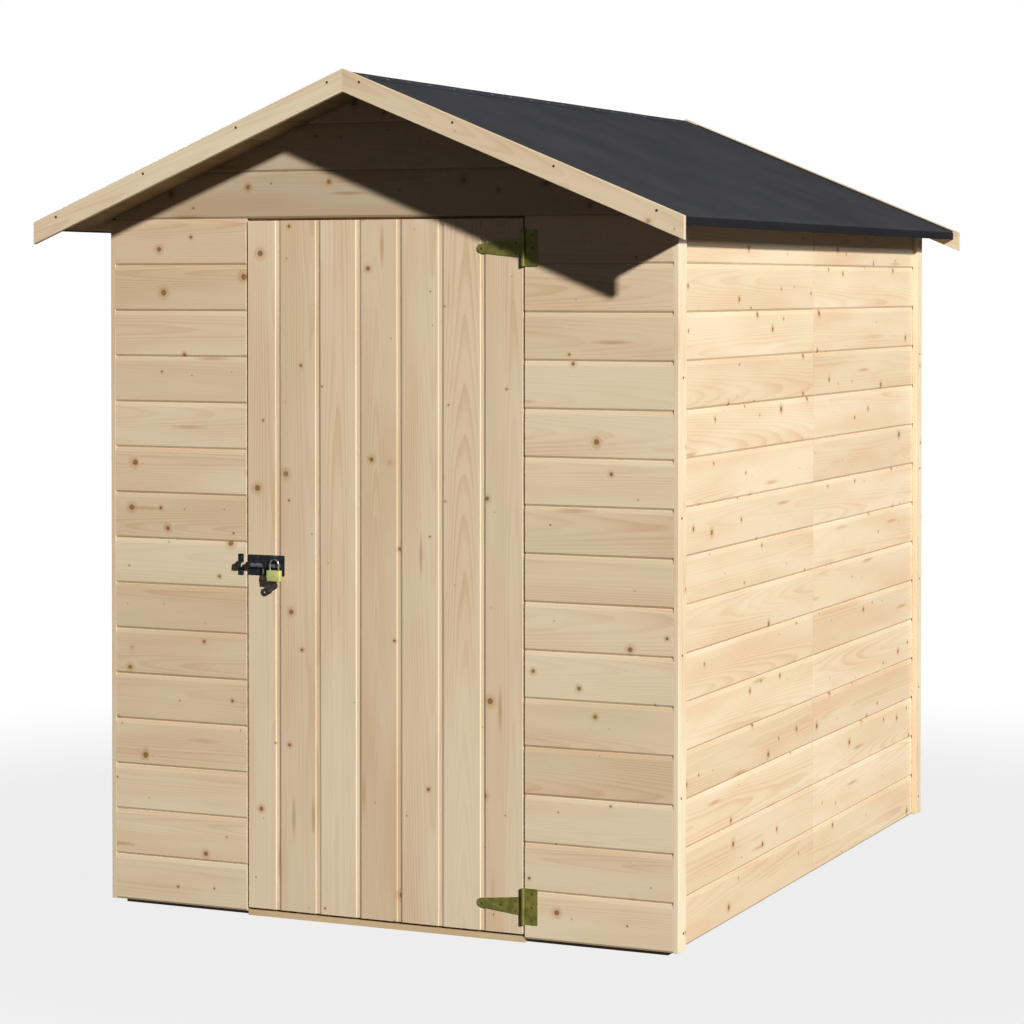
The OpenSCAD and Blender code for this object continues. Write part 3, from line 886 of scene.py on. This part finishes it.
leaf_low, leaf_high = corners("door_leaf")
leaf_height = leaf_high.z - leaf_low.z
edges = [leaf_low.x, leaf_low.x + DOOR_FIRST]
while edges[-1] + DOOR_COVER < leaf_high.x - DOOR_LIP:
    edges.append(edges[-1] + DOOR_COVER)
edges.append(leaf_high.x)
door_boards = []
for left, right in zip(edges, edges[1:]):
    lip = DOOR_LIP if left > leaf_low.x else 0
    master = milled_board(leaf_height, right - left, lip, DOOR_LIP_DEPTH)
    if right < leaf_high.x:
        set_back(master, right - left - DOOR_TONGUE - DOOR_STEP, DOOR_STEP, DOOR_STEP_DEPTH)
    finish_board(master, leaf_height)
    place = moved(left, leaf_low.y, leaf_high.z) @ turned(QUARTER, "Y")
    door_boards.append(board_from(master, place, right - left, BOARD_BOW))
    discard(master)
door = join(door_boards, "door_boards")
dress(door, board_wood, "door", "door_leaf")
print("door boards:", len(edges) - 1)

# %% [markdown]
# Three ledges hold the door's boards together from behind, at its foot, its middle and its head. They show
# when the door stands open. A ledge is a plain planed board, which a block with eased edges gives at once.

# %% Door ledges
LEDGE_H = 90 * MM
LEDGE_EASE = 2 * MM
TRIM_EASE = 1.2 * MM


def plain_board(name, length, thick, width, ease=TRIM_EASE):
    """A planed board along X, face towards -Y, with eased edges."""
    board = new_block(name, (0, 0, 0), (length, thick, width))
    soften(board, ease, smooth=False)
    return board


low, high = corners("door_ledges")
master = plain_board("ledge", high.x - low.x, high.y - low.y, LEDGE_H, LEDGE_EASE)
ledge_top = high.z - LEDGE_H
places = [moved(low.x, low.y, z) for z in (low.z, (low.z + ledge_top) / 2, ledge_top)]
ledges = lay("door_ledge_boards", master, places, LEDGE_H)
dress(ledges, trim_wood, "door", "door_ledges")
print("door ledges:", len(places))

# %% [markdown]
# Trims cover the ends of the boards at the four corners. Each is a planed board, stood on end and turned to
# face sideways, so its grain runs upright.

# %% Corner trims
TRIM_T = 13 * MM


def corner_pair(node):
    """The left and the right trim at the front or at the rear."""
    low, high = corners(node)
    width = high.y - low.y
    master = plain_board("trim", high.z - low.z, TRIM_T, width)
    stand = moved(width, 0, 0) @ turned(-QUARTER, "Y")
    places = [moved(low.x, high.y, low.z) @ turned(SIDES["left"], "Z") @ stand,
              moved(high.x, low.y, low.z) @ turned(SIDES["right"], "Z") @ stand]
    return lay(node + "_boards", master, places, width)


TRIM_NODES = ("front_corner_trims", "rear_corner_trims")
for node in TRIM_NODES:
    dress(corner_pair(node), trim_wood, "shed", node)
print("corner trims:", 2 * len(TRIM_NODES))

# %% [markdown]
# Bargeboards close the ends of the roof. Each is a planed board, turned to the slope with some length to
# spare, and then cut plumb at the apex and at its tail, as it would be on site.

# %% Bargeboards
BARGE_W = 50 * MM
BARGE_SPARE = 2 * BARGE_W


def bargeboard(node):
    low, high = corners(node)
    hand = hand_of(high)
    reach = high.x - low.x
    run = reach / math.cos(PITCH)
    master = plain_board("barge", run + 2 * BARGE_SPARE, high.y - low.y, BARGE_W)
    start = min(0, hand * run) - BARGE_SPARE
    place = moved(0, low.y, high.z) @ turned(hand * PITCH, "Y") @ moved(start, 0, -BARGE_W)
    piece = board_from(master, place, BARGE_W)
    discard(master)
    cut(piece, (0, 0, 0), (-hand, 0, 0))
    cut(piece, (hand * reach, 0, 0), (hand, 0, 0))
    piece.name = node + "_board"
    return piece


for end in ("front", "rear"):
    for side in ("left", "right"):
        node = end + "_bargeboard_" + side
        dress(bargeboard(node), trim_wood, "shed", node)
print("bargeboards cut to", BARGE_W / MM, "mm width")

# %% [markdown]
# Under the felt lie the roof boards, which show from below at the overhang and from inside. They run from
# front to back, side by side down each slope. A row of them is laid on the slope and cut plumb at the ridge,
# where the two rows meet.

# %% Roof boards
ROOF_COVER = 113 * MM
ROOF_JOINT = 1.0 * MM
ROOF_EASE = 1.5 * MM


def roof_boards(node):
    low, high = corners(node)
    hand = hand_of(high)
    reach = high.x - low.x
    thick = (high.z - low.z - reach * SLOPE) * math.cos(PITCH)
    run = reach / math.cos(PITCH)
    courses = round(run / ROOF_COVER)
    width = run / courses
    master = plain_board("roof_board", high.y - low.y, thick, width - ROOF_JOINT, ROOF_EASE)
    slope = moved(0, 0, high.z) @ turned(hand * PITCH, "Y")
    if hand < 0:
        slope = slope @ moved(0, low.y + high.y, 0) @ turned(2 * QUARTER, "Z")
    face_down = turned(QUARTER, "Z") @ turned(QUARTER, "X")
    places = [slope @ moved(course * width, low.y, -thick) @ face_down for course in range(courses)]
    deck = lay(node + "_boards", master, places, width)
    cut(deck, (0, 0, 0), (-hand, 0, 0))
    return deck


for node in ("roof_deck_left", "roof_deck_right"):
    dress(roof_boards(node), deck_painted_shade_wood, "shed", node)
print("roof boards about", ROOF_COVER / MM, "mm wide")

# %% [markdown]
# The felt is a sheet, so it starts as a grid, which is let down from the ridge to the slope. Its lower edge
# is extruded down over the eaves as a flap, and a thickness is added outward. A cloth simulation could
# drape it, but felt is stiff and nailed down, so a clean fold is nearer to the real thing.

# %% Felt sheets
FELT_T = 3 * MM
FELT_PLUMB = FELT_T / math.cos(PITCH)
FELT_CELLS_ALONG = 46
FELT_CELLS_DOWN = 20
FELT_EASE = 1.1 * MM


def felt_grid(node, left, right, cells):
    """A sheet as long as a node, from a left to a right side, let down to the slopes under the felt."""
    low, high = corners(node)
    top = high.z - FELT_PLUMB
    centre = ((left + right) / 2, (low.y + high.y) / 2, top)
    bpy.ops.object.select_all(action="DESELECT")
    bpy.ops.mesh.primitive_grid_add(x_subdivisions=cells, y_subdivisions=FELT_CELLS_ALONG, size=1,
                                    location=centre)
    sheet = bpy.context.object
    sheet.scale = (right - left, high.y - low.y, 1)
    bpy.ops.object.transform_apply(location=True, rotation=True, scale=True)
    for point in sheet.data.vertices:
        point.co.z = top - abs(point.co.x) * SLOPE
    return sheet


def thicken(sheet, even):
    """Give a sheet its thickness, outward."""
    modify(sheet, "felt_thickness", "SOLIDIFY", thickness=FELT_T, offset=1, use_even_offset=even)


def felt_slope(node):
    """The felt of one slope, with its flap over the eaves."""
    low, high = corners(node)
    edge_x = high.x - low.x - FELT_T
    left, right = sorted((0.0, hand_of(high) * edge_x))
    sheet = felt_grid(node, left, right, FELT_CELLS_DOWN)
    drop = low.z - (high.z - FELT_PLUMB - edge_x * SLOPE)
    pick_points(sheet, lambda co: abs(co.x) > edge_x - MM)
    bpy.ops.mesh.extrude_region_move(TRANSFORM_OT_translate={"value": (0, 0, drop)})
    bpy.ops.mesh.select_all(action="SELECT")
    bpy.ops.mesh.normals_make_consistent(inside=False)
    bpy.ops.object.mode_set(mode="OBJECT")
    if sum(face.normal.z for face in sheet.data.polygons) < 0:
        sheet.data.flip_normals()
    thicken(sheet, even=True)
    soften(sheet, FELT_EASE, 2, ROUND_ANGLE)
    return sheet


print("felt", FELT_T / MM, "mm thick")

# %% [markdown]
# At both ends the felt is turned up against the bargeboards, as a strip that stands on the slope. A soft
# noise then lifts the sheet here and there, because felt never lies quite flat. It only lifts, so the sheet
# stays clear of the boards below.

# %% Laying the felt
FELT_WAVE = 1.6 * MM
FELT_WAVE_SCALE = 0.28
FELT_UPTURN = 6 * MM
UPTURN_GAP = 2 * MM
UPTURN_EASE = 1.0 * MM

felt_clouds = bpy.data.textures.new("felt_waves", "CLOUDS")
felt_clouds.noise_scale = FELT_WAVE_SCALE


def upturns(node):
    """The strips of felt that are turned up against the two bargeboards of one slope."""
    low, high = corners(node)
    hand = hand_of(high)
    start = corners("ridge_felt")[1].x + UPTURN_GAP
    reach = (high.x - low.x - FELT_T - start) / math.cos(PITCH)
    near, far = sorted((0.0, hand * reach))
    strips = []
    for y in (low.y, high.y - FELT_T):
        strip = new_block("upturn", (near, 0, -FELT_T), (far, FELT_T, FELT_UPTURN))
        soften(strip, UPTURN_EASE, 2, ROUND_ANGLE)
        place = moved(hand * start, y, high.z - start * SLOPE)
        strip.data.transform(place @ turned(hand * PITCH, "Y"))
        strips.append(strip)
    return strips


def ripple(sheet):
    """Lift a felt sheet here and there by a soft noise, never below the boards."""
    modify(sheet, "ripple", "DISPLACE", texture=felt_clouds, texture_coords="LOCAL", direction="Z",
           mid_level=0.0, strength=FELT_WAVE)


for node in ("roof_felt_left", "roof_felt_right"):
    sheet = felt_slope(node)
    ripple(sheet)
    sheet = join([sheet] + upturns(node), node + "_sheet")
    dress(sheet, felt_finish, "shed", node)
print("felt laid, turned up by", FELT_UPTURN / MM, "mm")

# %% [markdown]
# A narrow strip of the same felt is folded over the ridge, on top of both sheets. It is made as they are:
# one grid that spans the ridge and is let down on both sides of it.

# %% Ridge strip
RIDGE_CELLS = 8
RIDGE_EASE = 1.0 * MM

half = corners("ridge_felt")[1].x
strip = felt_grid("ridge_felt", -half, half, RIDGE_CELLS)
thicken(strip, even=False)
soften(strip, RIDGE_EASE, 2, ROUND_ANGLE)
ripple(strip)
strip.name = "ridge_felt_strip"
dress(strip, felt_finish, "shed", "ridge_felt")
print("ridge strip laid")

# %% [markdown]
# The floor inside is boarded from front to back, with a fine gap between boards. It shows through the open
# door, so it is laid board by board as the roof is.

# %% Floor boards
FLOOR_COVER = 121 * MM
FLOOR_JOINT = 1.5 * MM
FLOOR_EASE = 1 * MM

low, high = corners("floor")
courses = round((high.x - low.x) / FLOOR_COVER)
width = (high.x - low.x) / courses
master = plain_board("floor_board", high.y - low.y, high.z - low.z, width - FLOOR_JOINT, FLOOR_EASE)
face_up = turned(QUARTER, "Z") @ turned(-QUARTER, "X")
places = []
for course in range(courses):
    right = low.x + (course + 1) * width - FLOOR_JOINT / 2
    places.append(moved(right, low.y, high.z) @ face_up)
planks = lay("floor_planks", master, places, width)
dress(planks, trim_wood, "shed", "floor")
print("floor boards:", courses)

# %% [markdown]
# The framing shows only through the open door, and the hinges, the bolt and the shackle already have their
# true shape. Those nodes of the frame keep their mesh and get a finish: sawn timber with the grain along
# each piece, zinc, paint or steel.

# %% Framing and metalwork finishes
FINISHES = (
    (sawn["lying"], ("floor_bearers", "gable_ties", "rafters_left", "rafters_right")),
    (sawn["deep"], ("bottom_rails", "top_rails")),
    (sawn["standing"], ("front_wall_studs", "left_wall_studs", "right_wall_studs", "back_wall_studs",
                        "door_stops")),
    (zinc_finish, ("upper_hinge_plate", "lower_hinge_plate", "upper_hinge_strap", "lower_hinge_strap")),
    (black_finish, ("bolt_keep", "bolt_plate")),
    (rod_finish, ("bolt_rod",)),
    (steel_finish, ("padlock_shackle",)),
    (key_finish, ("padlock_key",)),
)
for finish, nodes in FINISHES:
    for node in nodes:
        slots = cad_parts[node].data.materials
        slots.clear()
        slots.append(finish)
print("finishes on the framing and the metalwork")

# %% [markdown]
# Fixings are small, but they tell the eye the scale. Each kind of head is modelled once, and copied to the
# places where it is driven in, with a turn of its own.

# %% Fixing heads
HEAD_SIDES = 10
HEAD_EASE = 0.45


def head_disc(name, radius, height, sides=HEAD_SIDES):
    """A low round head, standing on the origin towards +Z."""
    bpy.ops.object.select_all(action="DESELECT")
    centre = (0, 0, height / 2)
    bpy.ops.mesh.primitive_cylinder_add(vertices=sides, radius=radius, depth=height, location=centre)
    head = bpy.context.object
    head.name = name
    bpy.ops.object.transform_apply(location=True, rotation=True, scale=True)
    soften(head, height * HEAD_EASE, 1, ROUND_ANGLE)
    return head


def set_heads(name, master, spots, finish, body):
    """Copies of one head at (place, outward direction), each turned at random, joined to one piece."""
    heads = []
    for place, out in spots:
        face = Vector(out).to_track_quat("Z", "Y").to_matrix().to_4x4()
        spin = turned(chance.uniform(0, math.pi), "Z")
        heads.append(copy_of(master, moved(*place) @ face @ spin))
    dress(join(heads, name), finish, body)


def wander(reach):
    """A random step of up to a reach, either way."""
    return chance.uniform(-reach, reach)


print("heads with", HEAD_SIDES, "sides")

# %% [markdown]
# The bargeboards are nailed into the ends of the roof boards, and the trims into the corner studs. A row of
# nails that was driven by hand is never quite straight, so each one wanders a little.

# %% Nails
NAIL_R = 3.3 * MM
NAIL_H = 0.8 * MM
BARGE_NAIL_XS = (43 * MM, 285 * MM, 540 * MM, 787 * MM)
BARGE_NAIL_DROP = 15 * MM
BARGE_NAIL_WANDER = 4 * MM
TRIM_NAIL_COUNT = 6
TRIM_NAIL_END = 45 * MM
TRIM_NAIL_ASIDE = 8 * MM
TRIM_NAIL_WANDER = 15 * MM

barge_low, barge_high = corners("front_bargeboard_right")
rear_y = corners("rear_bargeboard_right")[1].y
nail_spots = []
for x in BARGE_NAIL_XS:
    for hand in HANDS:
        z = barge_high.z - x * SLOPE - BARGE_NAIL_DROP
        aside = wander(BARGE_NAIL_WANDER)
        fall = hand * aside * SLOPE
        nail_spots.append(((hand * x + aside, barge_low.y, z - fall), FRONT))
        nail_spots.append(((hand * x - aside, rear_y, z + fall), BACK))
for node in TRIM_NODES:
    low, high = corners(node)
    run = high.z - low.z - 2 * TRIM_NAIL_END
    for step in range(TRIM_NAIL_COUNT):
        z = low.z + TRIM_NAIL_END + run * step / (TRIM_NAIL_COUNT - 1)
        y = (low.y + high.y) / 2 + wander(TRIM_NAIL_ASIDE)
        nail_spots.append(((high.x, y, z + wander(TRIM_NAIL_WANDER)), RIGHT))
        nail_spots.append(((low.x, y, z + wander(TRIM_NAIL_WANDER)), LEFT))
nail = head_disc("nail", NAIL_R, NAIL_H)
set_heads("nail_heads", nail, nail_spots, nail_finish, "shed")
discard(nail)
print("nails:", len(nail_spots))

# %% [markdown]
# Clout nails with broad flat heads hold the edges of the ridge strip. They stand square to the slope, on
# the felt at about the middle of its waves.

# %% Clout nails
CLOUT_R = 5 * MM
CLOUT_H = 1.2 * MM
CLOUT_STEP = 120 * MM
CLOUT_EDGE = 8 * MM
CLOUT_WANDER = 12 * MM

strip_low, strip_high = corners("ridge_felt")
clout_x = strip_high.x - CLOUT_EDGE
clout_z = strip_high.z - clout_x * SLOPE + FELT_WAVE / 2
clout_spots = []
for step in range(int((strip_high.y - strip_low.y) / CLOUT_STEP)):
    for hand in HANDS:
        y = strip_low.y + (step + 0.5) * CLOUT_STEP + wander(CLOUT_WANDER)
        clout_spots.append(((hand * clout_x, y, clout_z), slope_normal(hand)))
clout = head_disc("clout", CLOUT_R, CLOUT_H)
set_heads("clout_nails", clout, clout_spots, clout_finish, "shed")
discard(clout)
print("clout nails:", len(clout_spots))

# %% [markdown]
# Screws with crossed slots hold the hinges, the bolt and its keep. Two bars are cut out of a round head
# with a boolean, which gives the cross at once. All the metalwork lies on one plane, 2 mm before the door,
# so each screw needs only its place across and its height.

# %% Hinge and bolt screws
SCREW_R = 3.4 * MM
SCREW_H = 1.1 * MM
SCREW_SIDES = 14
SLOT_ARM = 0.62 * SCREW_R
SLOT_FLOOR = 0.45 * SCREW_H
SLOT_W = 1.0 * MM
PLATE_T = 2 * MM
STRAP_ROOT_IN = 24 * MM
STRAP_ROOT_RISE = 12 * MM
STRAP_MIDDLE_IN = 62 * MM
STRAP_TIP_IN = 13 * MM
PLATE_EDGE_IN = 13 * MM
PLATE_RISES = (-31 * MM, 0, 31 * MM)
BOLT_R = 5 * MM
BOLT_LEFT_IN = 24 * MM
BOLT_RIGHT_IN = 9 * MM
BOLT_RISES = (-18 * MM, 18 * MM)


def screw_head():
    head = head_disc("screw", SCREW_R, SCREW_H, SCREW_SIDES)
    half = SLOT_W / 2
    for x, y in ((SLOT_ARM, half), (half, SLOT_ARM)):
        bar = new_block("bar", (-x, -y, SLOT_FLOOR), (x, y, 2 * SCREW_H))
        modify(head, "slot", "BOOLEAN", operation="DIFFERENCE", object=bar)
        discard(bar)
    return head


def plate_spots(places):
    """Spots on the front of the metalwork, from their X and Z."""
    return [((x, leaf_low.y - PLATE_T, z), FRONT) for x, z in places]


screw = screw_head()
for level in ("upper", "lower"):
    low, high = corners(level + "_hinge_strap")
    mid_z = (low.z + high.z) / 2
    root_x = high.x - STRAP_ROOT_IN
    strap = [(root_x, mid_z + STRAP_ROOT_RISE), (root_x, mid_z - STRAP_ROOT_RISE),
             (high.x - STRAP_MIDDLE_IN, mid_z), (low.x + STRAP_TIP_IN, mid_z)]
    set_heads(level + "_strap_screws", screw, plate_spots(strap), screw_painted_shade_finish, "door")
    plate_x = corners(level + "_hinge_plate")[1].x - PLATE_EDGE_IN
    plate = [(plate_x, mid_z + rise) for rise in PLATE_RISES]
    set_heads(level + "_plate_screws", screw, plate_spots(plate), screw_painted_shade_finish, "shed")
low, high = corners("bolt_plate")
bolt_z = corners("bolt_rod")[1].z - BOLT_R
bolt = [(x, bolt_z + rise) for x in (low.x + BOLT_LEFT_IN, high.x - BOLT_RIGHT_IN) for rise in BOLT_RISES]
set_heads("bolt_plate_screws", screw, plate_spots(bolt), black_finish, "door")
low, high = corners("bolt_keep")
keep = [((low.x + high.x) / 2, bolt_z + rise) for rise in BOLT_RISES]
set_heads("keep_screws", screw, plate_spots(keep), black_finish, "shed")
discard(screw)
print("screws set in hinges and bolt")

# %% [markdown]
# The padlock's body is a brass block with rounded edges and a shallow step round its foot. The block is
# scored above the foot, and the foot's two sides are pushed in.

# %% Padlock
STEP_UP = 5 * MM
STEP_IN = 0.8 * MM
LOCK_ROUND = 2 * MM

low, high = corners("padlock_body")
lock_mid = (low.x + high.x) / 2
step_z = low.z + STEP_UP
lock_block = new_block("padlock_block", low, high)
for z in (step_z, step_z + STEP_IN):
    cut(lock_block, (0, 0, z), UP, keep_all=True)
for hand in HANDS:
    def foot_side(co, hand=hand):
        return co.z < step_z + STEP_IN / 2 and (co.x - lock_mid) * hand > 0
    push(lock_block, foot_side, (-hand * STEP_IN, 0, 0))
soften(lock_block, LOCK_ROUND, 3)
dress(lock_block, brass_finish, "door", "padlock_body")
print("padlock body done")

# %% [markdown]
# Last, the script reports that the shed is dressed.

# %% Finish
print("shed dressed")
